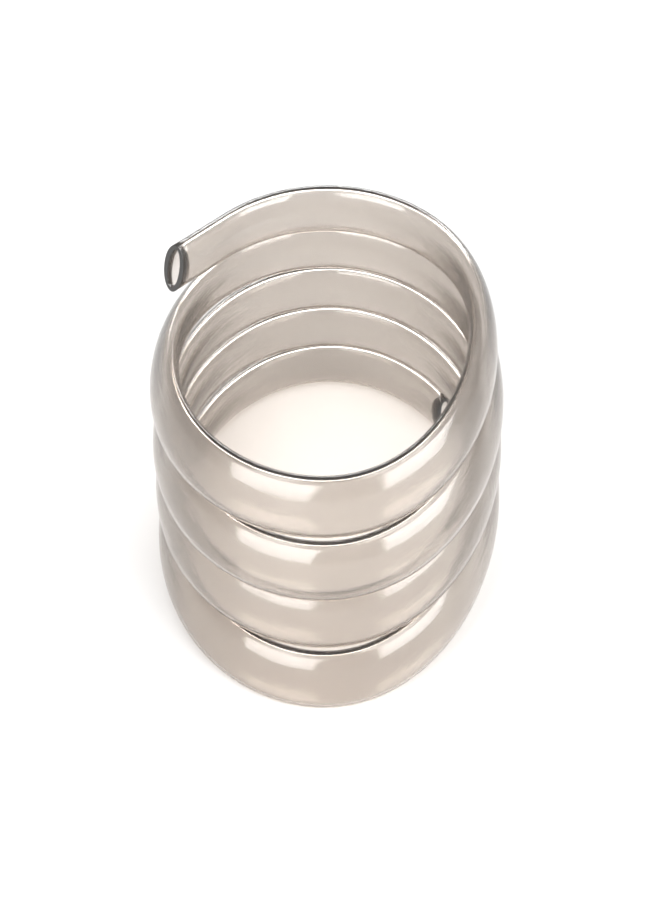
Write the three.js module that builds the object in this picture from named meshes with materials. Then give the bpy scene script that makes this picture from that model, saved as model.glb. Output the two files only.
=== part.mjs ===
// Coil of soft, smoke-tinted plastic tubing, standing on its bottom turn.
//
// One length of tube is wound four and a third times round an upright axis,
// going down to the right-hand rule, with each turn resting on the one below.
// Bending has pressed the tube oval: tall along the coil's axis and narrow
// across it. Both ends are cut square and open. Each mesh is one stretch of
// the same tube, and meets the next end to end with a hairline between them.
//
// Units are millimetres, +Z is up, and the origin is on the floor under the
// middle of the coil. A place along the tube is counted in turns from the cut
// at the upper end.

import * as THREE from "three";

// Driving dimensions.
const TUBE_HEIGHT = 21.8;        // oval section, along the coil's axis
const TUBE_WIDTH = 8.0;          // oval section, across it
const WALL = 1.6;
const SECTION_LEAN = 12;         // degrees that the section's top leans inwards
const TURNS = 4.33;              // the whole tube, cut to cut
const UPPER_END_ANGLE = 158;     // degrees round from +X, seen from above
const SIDE_RADIUS = 48.6;        // centre line, along X
const DEPTH_RADIUS = 50.6;       // centre line, along Y
const SIDE_GROWTH = 0.3;         // what each turn adds to those radii
const DEPTH_GROWTH = 4.1;
const SIDE_DRIFT = 0.5;          // each turn sits this much further to +X
const DEPTH_DRIFT = 0.3;         // and to +Y
const FRONT_BULGES = [0, 1.7, -2.1, 0];  // each turn's own, at the front
const UPPER_TUCK = 2.4;          // the upper end lies nearer the axis
const TUCK_FROM = 0.4;           // turns: it eases outwards from here
const TUCK_TO = 0.7;             // and is back on the winding here
const STEP_ANGLE = -25;          // where each turn comes down onto the next level
const STEP_WINDOW = 0.43;        // part of a turn that coming down takes
const STRAIGHT_END = 0.07;       // turns at the upper end that run straight
const TURN_GAP = 0.85;           // between one turn and the one below
const HAIRLINE = 0.3;            // between one stretch and the next
const STEPS_PER_TURN = 32;
const SECTION_SIDES = 16;

// Each stretch's name, and the turn count that it runs to.
const STRETCHES = [
  ["upper_end", 0.33],
  ["turn_1", 1.33],
  ["turn_2", 2.33],
  ["turn_3", 3.33],
  ["turn_4", 4.2],
  ["lower_end", TURNS],
];

const LEAN = THREE.MathUtils.degToRad(SECTION_LEAN);
const LEANING_HEIGHT = 2 * Math.hypot(
  (TUBE_HEIGHT / 2) * Math.cos(LEAN),
  (TUBE_WIDTH / 2) * Math.sin(LEAN),
);
const LEVELS = Math.floor(TURNS);
const UP = new THREE.Vector3(0, 0, 1);

function windingAngle(turn) {
  return THREE.MathUtils.degToRad(UPPER_END_ANGLE - 360 * turn);
}

// Levels that the tube has come down by: flat round half of each turn, then a
// smooth ramp onto the next level.
function levelsDown(turn) {
  const sinceStep = turn - (UPPER_END_ANGLE - STEP_ANGLE) / 360 + 0.5;
  const level = Math.min(Math.floor(sinceStep), LEVELS - 1);
  const ramp = (sinceStep - level - 0.5) / STEP_WINDOW + 0.5;
  return level + THREE.MathUtils.smootherstep(ramp, 0, 1);
}

// How far the tube lies inside the plain winding, near the upper end.
function tuck(turn) {
  return UPPER_TUCK * (1 - THREE.MathUtils.smootherstep(turn, TUCK_FROM, TUCK_TO));
}

// How far it stands out at the front, fading to nothing at the back.
function frontBulge(turn) {
  let bulge = 0;
  FRONT_BULGES.forEach((height, count) => {
    const fromFront = turn - (UPPER_END_ANGLE + 90) / 360 - count;
    if (Math.abs(fromFront) < 0.5) bulge += height * Math.cos(Math.PI * fromFront) ** 2;
  });
  return bulge;
}

function windingPoint(turn) {
  const angle = windingAngle(turn);
  const sideRadius = SIDE_RADIUS + SIDE_GROWTH * turn - tuck(turn);
  const depthRadius = DEPTH_RADIUS + DEPTH_GROWTH * turn - tuck(turn);
  return new THREE.Vector3(
    sideRadius * Math.cos(angle) + SIDE_DRIFT * turn,
    depthRadius * Math.sin(angle) + DEPTH_DRIFT * turn - frontBulge(turn),
    (LEVELS - levelsDown(turn)) * (LEANING_HEIGHT + TURN_GAP) + LEANING_HEIGHT / 2,
  );
}

function perTurn(turn) {
  const step = 1e-4;
  return windingPoint(turn + step).sub(windingPoint(turn - step)).divideScalar(2 * step);
}

// The tube's centre line. The upper end leaves the winding along its tangent.
function centreLine(turn) {
  const past = Math.min(turn - STRAIGHT_END, 0);
  return windingPoint(turn - past).addScaledVector(perTurn(turn - past), past);
}

// One stretch of the centre line, with sections that stand upright across it.
class Stretch extends THREE.Curve {
  constructor(from, to) {
    super();
    this.from = from;
    this.to = to;
  }

  getPoint(t) {
    return centreLine(THREE.MathUtils.lerp(this.from, this.to, t));
  }

  computeFrenetFrames(segments) {
    const frames = { tangents: [], normals: [], binormals: [] };
    for (let i = 0; i <= segments; i += 1) {
      const t = this.getUtoTmapping(i / segments);
      const turn = THREE.MathUtils.lerp(this.from, this.to, t);
      const along = perTurn(Math.max(turn, STRAIGHT_END)).setZ(0).normalize();
      frames.tangents.push(along);
      frames.normals.push(new THREE.Vector3().crossVectors(UP, along).normalize());
      frames.binormals.push(UP.clone());
    }
    return frames;
  }
}

// The tube's wall in section: an oval ring with its top leaning inwards.
function tubeSection() {
  const section = new THREE.Shape();
  section.absellipse(0, 0, TUBE_WIDTH / 2, TUBE_HEIGHT / 2, 0, 2 * Math.PI, false, LEAN);
  const bore = new THREE.Path();
  bore.absellipse(0, 0, TUBE_WIDTH / 2 - WALL, TUBE_HEIGHT / 2 - WALL, 0, 2 * Math.PI, true, LEAN);
  section.holes.push(bore);
  return section;
}

function stretchMesh(name, from, to) {
  const geometry = new THREE.ExtrudeGeometry(tubeSection(), {
    steps: Math.ceil((to - from) * STEPS_PER_TURN),
    curveSegments: SECTION_SIDES / 2,
    extrudePath: new Stretch(from, to),
  });
  const smokedPlastic = new THREE.MeshStandardMaterial({
    color: "#b3a89c",
    roughness: 0.12,
    metalness: 0,
  });
  const mesh = new THREE.Mesh(geometry, smokedPlastic);
  mesh.name = name;
  return mesh;
}

const coil = new THREE.Group();
const millimetresPerTurn = perTurn(TURNS / 2).length();
const hairlineTurns = HAIRLINE / millimetresPerTurn;
let from = 0;
for (const [name, to] of STRETCHES) {
  coil.add(stretchMesh(name, from, to === TURNS ? to : to - hairlineTurns));
  from = to;
}

// The origin goes under the middle of the coil, on the floor.
const box = new THREE.Box3().setFromObject(coil);
const middle = box.getCenter(new THREE.Vector3());
coil.position.set(-middle.x, -middle.y, -box.min.z);

const tubing = new THREE.Group();
tubing.add(coil);

export default tubing;
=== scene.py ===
"""Coil of smoke-tinted plastic tubing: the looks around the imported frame.

One hollow tube follows the same winding as the CAD solids, with its bore open
from cut to cut. Lengths are in metres. The angles named at the top are in
degrees, apart from LEAN, which is in radians like the angles inside functions.
A place along the tube is counted in turns from the cut at the upper end.
"""

import math

import bpy
from mathutils import Matrix, Vector


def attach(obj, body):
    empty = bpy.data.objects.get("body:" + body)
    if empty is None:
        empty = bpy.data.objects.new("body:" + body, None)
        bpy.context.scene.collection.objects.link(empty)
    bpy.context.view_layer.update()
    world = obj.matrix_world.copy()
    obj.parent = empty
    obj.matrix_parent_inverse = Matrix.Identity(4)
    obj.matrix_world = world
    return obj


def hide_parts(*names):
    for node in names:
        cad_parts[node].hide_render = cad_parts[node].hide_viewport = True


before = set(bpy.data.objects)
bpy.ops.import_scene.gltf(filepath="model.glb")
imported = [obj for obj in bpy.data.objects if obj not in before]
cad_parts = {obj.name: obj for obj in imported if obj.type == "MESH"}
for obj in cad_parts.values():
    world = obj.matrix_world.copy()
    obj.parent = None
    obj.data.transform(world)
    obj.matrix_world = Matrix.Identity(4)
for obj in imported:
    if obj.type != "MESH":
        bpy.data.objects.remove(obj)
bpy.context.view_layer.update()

MM = 0.001

# The winding, as in the CAD model.
TUBE_HEIGHT = 21.8 * MM
TUBE_WIDTH = 8.0 * MM
WALL = 1.6 * MM
SECTION_LEAN = 12
TURNS = 4.33
UPPER_END_ANGLE = 158
SIDE_RADIUS = 48.6 * MM
DEPTH_RADIUS = 50.6 * MM
SIDE_GROWTH = 0.3 * MM
DEPTH_GROWTH = 4.1 * MM
SIDE_DRIFT = 0.5 * MM
DEPTH_DRIFT = 0.3 * MM
FRONT_BULGES = (0.0, 1.7 * MM, -2.1 * MM, 0.0)
UPPER_TUCK = 2.4 * MM
TUCK_FROM = 0.4
TUCK_TO = 0.7
STEP_ANGLE = -25
STEP_WINDOW = 0.43
STRAIGHT_END = 0.07
TURN_GAP = 0.85 * MM

# Worked out from those: the leaning oval's height, and the levels it comes down.
LEAN = math.radians(SECTION_LEAN)
LEANING_HEIGHT = 2 * math.hypot(TUBE_HEIGHT / 2 * math.cos(LEAN), TUBE_WIDTH / 2 * math.sin(LEAN))
LEVELS = math.floor(TURNS)

# Mesh density.
RINGS_PER_TURN = 96
SECTION_SIDES = 64

# The plastic. Its smoke leaves exp(-density * (1 - colour)) of the light after a metre.
SMOKE_COLOUR = (0.50, 0.43, 0.36, 1)
SMOKE_DENSITY = 370
PLASTIC_COLOUR = (0.975, 0.97, 0.965, 1)
PLASTIC_IOR = 1.5
PLASTIC_TRANSMISSION = 0.98
PLASTIC_ROUGHNESS = (0.10, 0.18)
SHADOW_TINT = (0.98, 0.978, 0.976, 1)

# Noise on the plastic: lines drawn along the tube, and ripples across it. A
# stretch is the noise's cells in a turn, and its cells once round the section.
LINE_STRETCH = (3, 46)
LINE_DETAIL = 3
LINE_BUMP_STRENGTH = 0.12
LINE_BUMP_DISTANCE = 0.2 * MM
RIPPLE_STRETCH = (26, 5)
RIPPLE_DETAIL = 2
RIPPLE_BUMP_STRENGTH = 0.15
RIPPLE_BUMP_DISTANCE = 0.3 * MM

# The part of a noise's range that is spread over a roughness.
NOISE_LOW = 0.3
NOISE_HIGH = 0.7

# The sawn wall at both cuts.
EDGE_COLOUR = (0.02, 0.019, 0.018, 1)
EDGE_NOISE_SCALE = 900
EDGE_ROUGHNESS = (0.4, 0.65)

# The floor.
FLOOR_SIZE = 8
FLOOR_COLOUR = (0.52, 0.52, 0.52, 1)
FLOOR_ROUGHNESS = 0.9

# The white room's strength, then the softboxes: name, place, the point it faces,
# width and height, and power in watts.
ROOM_STRENGTH = 0.36
SOFTBOXES = (
    ("overhead_softbox", (-0.36, -0.45, 1.15), (0, 0, 0), (0.45, 0.80), 6.2),
    ("overhead_softbox", (0.36, -0.45, 1.15), (0, 0, 0), (0.45, 0.80), 6.2),
    ("back_softbox", (0, 0.75, 0.36), (0, 0.1, 0), (1.1, 0.4), 12.5),
    ("left_softbox", (-0.33, -0.55, 0.26), (0, 0, 0.05), (0.62, 0.50), 7.6),
    ("right_softbox", (0.52, -0.42, 0.26), (0, 0, 0.05), (0.46, 0.50), 6.2),
)

# Camera: where it looks, and from where. Lens and film are in millimetres.
CAMERA_ELEVATION = 48.01
CAMERA_DISTANCE = 0.8266
CAMERA_AIM = (0.5 * MM, -1.6 * MM, 42.5 * MM)
CAMERA_ROLL = 1.36
CAMERA_LENS = 106.3
FILM_HEIGHT = 36.0


# --- The winding -----------------------------------------------------------

def smoother_step(value, low, high):
    """Eases from 0 at low to 1 at high, level at both ends."""
    x = min(max((value - low) / (high - low), 0.0), 1.0)
    return x ** 3 * (x * (6 * x - 15) + 10)


def levels_down(turn):
    """Levels the tube has come down by: flat for over half of each turn, then a ramp."""
    since_step = turn - (UPPER_END_ANGLE - STEP_ANGLE) / 360 + 0.5
    level = min(math.floor(since_step), LEVELS - 1)
    ramp = (since_step - level - 0.5) / STEP_WINDOW + 0.5
    return level + smoother_step(ramp, 0, 1)


def tuck(turn):
    """How far the tube lies inside the plain winding, near the upper end."""
    return UPPER_TUCK * (1 - smoother_step(turn, TUCK_FROM, TUCK_TO))


def front_bulge(turn):
    """How far it stands out at the front, fading to nothing at the back."""
    bulge = 0.0
    for count, most in enumerate(FRONT_BULGES):
        from_front = turn - (UPPER_END_ANGLE + 90) / 360 - count
        if abs(from_front) < 0.5:
            bulge += most * math.cos(math.pi * from_front) ** 2
    return bulge


def winding_point(turn):
    """The middle of the tube, if its upper end followed the coil all the way."""
    angle = math.radians(UPPER_END_ANGLE - 360 * turn)
    side_radius = SIDE_RADIUS + SIDE_GROWTH * turn - tuck(turn)
    depth_radius = DEPTH_RADIUS + DEPTH_GROWTH * turn - tuck(turn)
    return Vector((
        side_radius * math.cos(angle) + SIDE_DRIFT * turn,
        depth_radius * math.sin(angle) + DEPTH_DRIFT * turn - front_bulge(turn),
        (LEVELS - levels_down(turn)) * (LEANING_HEIGHT + TURN_GAP) + LEANING_HEIGHT / 2,
    ))


def per_turn(turn):
    """The winding's direction and speed here, in metres a turn."""
    step = 1e-4
    return (winding_point(turn + step) - winding_point(turn - step)) / (2 * step)


def centre_line(turn):
    """The upper end leaves the winding along its tangent."""
    past = min(turn - STRAIGHT_END, 0.0)
    return winding_point(turn - past) + per_turn(turn - past) * past


def outward(turn):
    """Level direction across the tube, away from the coil's axis."""
    along = per_turn(max(turn, STRAIGHT_END))
    along.z = 0
    return Vector((0, 0, 1)).cross(along).normalized()


# --- The tube --------------------------------------------------------------

def oval(turn, half_width, half_height):
    """One ring of points round the centre line, with its top leaning inwards."""
    across = outward(turn)
    wide = across * math.cos(LEAN) + Vector((0, 0, math.sin(LEAN)))
    tall = Vector((0, 0, math.cos(LEAN))) - across * math.sin(LEAN)
    middle = centre_line(turn)
    ring = []
    for side in range(SECTION_SIDES):
        angle = math.tau * side / SECTION_SIDES
        sideways = wide * (half_width * math.cos(angle))
        upwards = tall * (half_height * math.sin(angle))
        ring.append(middle + sideways + upwards)
    return ring


def skin(rings, first, inside):
    """Quads between rings of points, facing out, or into the bore."""
    faces = []
    for ring in range(rings - 1):
        for side in range(SECTION_SIDES):
            near = first + ring * SECTION_SIDES
            far = near + SECTION_SIDES
            right = (side + 1) % SECTION_SIDES
            quad = (near + side, near + right, far + right, far + side)
            faces.append(quad[::-1] if inside else quad)
    return faces


def cut_faces(bore_first, last):
    """The flat ring of wall at the first cut, and at the last."""
    faces = []
    for side in range(SECTION_SIDES):
        right = (side + 1) % SECTION_SIDES
        bore = bore_first + side
        bore_right = bore_first + right
        faces.append((side, bore, bore_right, right))
        faces.append((last + side, last + right, last + bore_right, last + bore))
    return faces


def under_middle(points):
    """The middle of the bottom of these points' box."""
    lows = [min(p[axis] for p in points) for axis in range(3)]
    highs = [max(p[axis] for p in points) for axis in range(3)]
    return Vector(((lows[0] + highs[0]) / 2, (lows[1] + highs[1]) / 2, lows[2]))


def add_object(name, data):
    added = bpy.data.objects.new(name, data)
    bpy.context.collection.objects.link(added)
    return added


def tube_object():
    """The tube, and the route of its centre line from the tube's own origin."""
    rings = round(TURNS * RINGS_PER_TURN) + 1
    turns = [TURNS * i / (rings - 1) for i in range(rings)]
    points = []
    for turn in turns:
        points += oval(turn, TUBE_WIDTH / 2, TUBE_HEIGHT / 2)
    bore_first = len(points)
    for turn in turns:
        points += oval(turn, TUBE_WIDTH / 2 - WALL, TUBE_HEIGHT / 2 - WALL)
    origin = under_middle(points)
    walls = skin(rings, 0, False) + skin(rings, bore_first, True)
    cuts = cut_faces(bore_first, (rings - 1) * SECTION_SIDES)
    mesh = bpy.data.meshes.new("tube")
    mesh.from_pydata([tuple(p - origin) for p in points], [], walls + cuts)
    for index, polygon in enumerate(mesh.polygons):
        is_wall = index < len(walls)
        polygon.use_smooth = is_wall
        polygon.material_index = 0 if is_wall else 1
    lay_out_uv(mesh, rings)
    mesh.update()
    return add_object("tube", mesh), [centre_line(turn) - origin for turn in turns]


def lay_out_uv(mesh, rings):
    """U counts turns along the tube and V goes once round the section."""
    layer = mesh.uv_layers.new(name="along_round")
    for polygon in mesh.polygons:
        sides = [mesh.loops[i].vertex_index % SECTION_SIDES for i in polygon.loop_indices]
        wraps = max(sides) - min(sides) > SECTION_SIDES / 2
        for loop in polygon.loop_indices:
            vertex = mesh.loops[loop].vertex_index
            side = vertex % SECTION_SIDES
            ring = vertex // SECTION_SIDES % rings
            if wraps and side == 0:
                side = SECTION_SIDES
            layer.data[loop].uv = (TURNS * ring / (rings - 1), side / SECTION_SIDES)


# --- Materials -------------------------------------------------------------

def new_material(name):
    """A material that has nodes, and its shader."""
    material = bpy.data.materials.new(name)
    material.use_nodes = True
    return material, material.node_tree.nodes["Principled BSDF"]


def tube_noise(tree, stretch, detail):
    """Noise laid out along and round the tube, sized by its stretch alone."""
    uv = tree.nodes.new("ShaderNodeUVMap")
    uv.uv_map = "along_round"
    mapping = tree.nodes.new("ShaderNodeMapping")
    mapping.inputs["Scale"].default_value = (stretch[0], stretch[1], 1)
    noise = tree.nodes.new("ShaderNodeTexNoise")
    noise.inputs["Scale"].default_value = 1
    noise.inputs["Detail"].default_value = detail
    tree.links.new(uv.outputs["UV"], mapping.inputs["Vector"])
    tree.links.new(mapping.outputs["Vector"], noise.inputs["Vector"])
    return noise


def roughen(tree, noise, roughness, shader):
    """Spreads the noise between two values of the shader's roughness."""
    spread = tree.nodes.new("ShaderNodeMapRange")
    spread.inputs["From Min"].default_value = NOISE_LOW
    spread.inputs["From Max"].default_value = NOISE_HIGH
    spread.inputs["To Min"].default_value = roughness[0]
    spread.inputs["To Max"].default_value = roughness[1]
    tree.links.new(noise.outputs["Fac"], spread.inputs["Value"])
    tree.links.new(spread.outputs["Result"], shader.inputs["Roughness"])


def raised(tree, noise, strength, distance):
    """Bumps that follow the noise."""
    bump = tree.nodes.new("ShaderNodeBump")
    bump.inputs["Strength"].default_value = strength
    bump.inputs["Distance"].default_value = distance
    tree.links.new(noise.outputs["Fac"], bump.inputs["Height"])
    return bump


def pass_light(tree, shader):
    """Lamps shine through the wall, so that the floor inside the coil stays light."""
    path = tree.nodes.new("ShaderNodeLightPath")
    clear = tree.nodes.new("ShaderNodeBsdfTransparent")
    clear.inputs["Color"].default_value = SHADOW_TINT
    mix = tree.nodes.new("ShaderNodeMixShader")
    tree.links.new(path.outputs["Is Shadow Ray"], mix.inputs["Fac"])
    tree.links.new(shader.outputs["BSDF"], mix.inputs[1])
    tree.links.new(clear.outputs["BSDF"], mix.inputs[2])
    tree.links.new(mix.outputs["Shader"], tree.nodes["Material Output"].inputs["Surface"])


def smoked_plastic():
    """Glossy clear plastic with a smoke tint that deepens with its thickness."""
    material, shader = new_material("smoked_plastic")
    tree = material.node_tree
    shader.inputs["Base Color"].default_value = PLASTIC_COLOUR
    shader.inputs["IOR"].default_value = PLASTIC_IOR
    shader.inputs["Transmission Weight"].default_value = PLASTIC_TRANSMISSION
    lines = tube_noise(tree, LINE_STRETCH, LINE_DETAIL)
    ripples = tube_noise(tree, RIPPLE_STRETCH, RIPPLE_DETAIL)
    roughen(tree, ripples, PLASTIC_ROUGHNESS, shader)
    line_bump = raised(tree, lines, LINE_BUMP_STRENGTH, LINE_BUMP_DISTANCE)
    ripple_bump = raised(tree, ripples, RIPPLE_BUMP_STRENGTH, RIPPLE_BUMP_DISTANCE)
    tree.links.new(ripple_bump.outputs["Normal"], line_bump.inputs["Normal"])
    tree.links.new(line_bump.outputs["Normal"], shader.inputs["Normal"])
    pass_light(tree, shader)
    smoke = tree.nodes.new("ShaderNodeVolumeAbsorption")
    smoke.inputs["Color"].default_value = SMOKE_COLOUR
    smoke.inputs["Density"].default_value = SMOKE_DENSITY
    tree.links.new(smoke.outputs["Volume"], tree.nodes["Material Output"].inputs["Volume"])
    return material


def cut_edge():
    """The sawn wall, dark because little light comes out through it."""
    material, shader = new_material("cut_edge")
    tree = material.node_tree
    shader.inputs["Base Color"].default_value = EDGE_COLOUR
    marks = tree.nodes.new("ShaderNodeTexNoise")
    marks.inputs["Scale"].default_value = EDGE_NOISE_SCALE
    roughen(tree, marks, EDGE_ROUGHNESS, shader)
    return material


# --- Camera, lights and floor ----------------------------------------------

def add_camera():
    data = bpy.data.cameras.new("camera")
    data.sensor_fit = "VERTICAL"
    data.sensor_height = FILM_HEIGHT
    data.lens = CAMERA_LENS
    camera = add_object("camera", data)
    up = math.radians(CAMERA_ELEVATION)
    aim = Vector(CAMERA_AIM)
    camera.location = aim + Vector((0, -math.cos(up), math.sin(up))) * CAMERA_DISTANCE
    facing = (aim - camera.location).to_track_quat("-Z", "Y")
    roll = Matrix.Rotation(math.radians(CAMERA_ROLL), 4, "Z")
    camera.matrix_world = Matrix.Translation(camera.location) @ facing.to_matrix().to_4x4() @ roll
    bpy.context.scene.camera = camera


def add_softbox(name, place, aim, size, power):
    data = bpy.data.lights.new(name, "AREA")
    data.shape = "RECTANGLE"
    data.size = size[0]
    data.size_y = size[1]
    data.energy = power
    light = add_object(name, data)
    light.location = place
    light.rotation_euler = (Vector(aim) - Vector(place)).to_track_quat("-Z", "Y").to_euler()


def add_lights():
    """A dim white room, softboxes overhead, behind and at both front sides."""
    world = bpy.data.worlds.new("studio")
    bpy.context.scene.world = world
    world.use_nodes = True
    sky = world.node_tree.nodes["Background"]
    sky.inputs["Color"].default_value = (1, 1, 1, 1)
    sky.inputs["Strength"].default_value = ROOM_STRENGTH
    for softbox in SOFTBOXES:
        add_softbox(*softbox)


def add_floor():
    bpy.ops.mesh.primitive_plane_add(size=FLOOR_SIZE, location=(0, 0, 0))
    floor = bpy.context.object
    floor.name = "floor"
    material, shader = new_material("white_floor")
    shader.inputs["Base Color"].default_value = FLOOR_COLOUR
    shader.inputs["Roughness"].default_value = FLOOR_ROUGHNESS
    floor.data.materials.append(material)


add_camera()
tube, route = tube_object()
tube.data.materials.append(smoked_plastic())
tube.data.materials.append(cut_edge())
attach(tube, "root")
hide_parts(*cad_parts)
add_floor()
add_lights()
bpy.context.scene.view_settings.view_transform = "Standard"
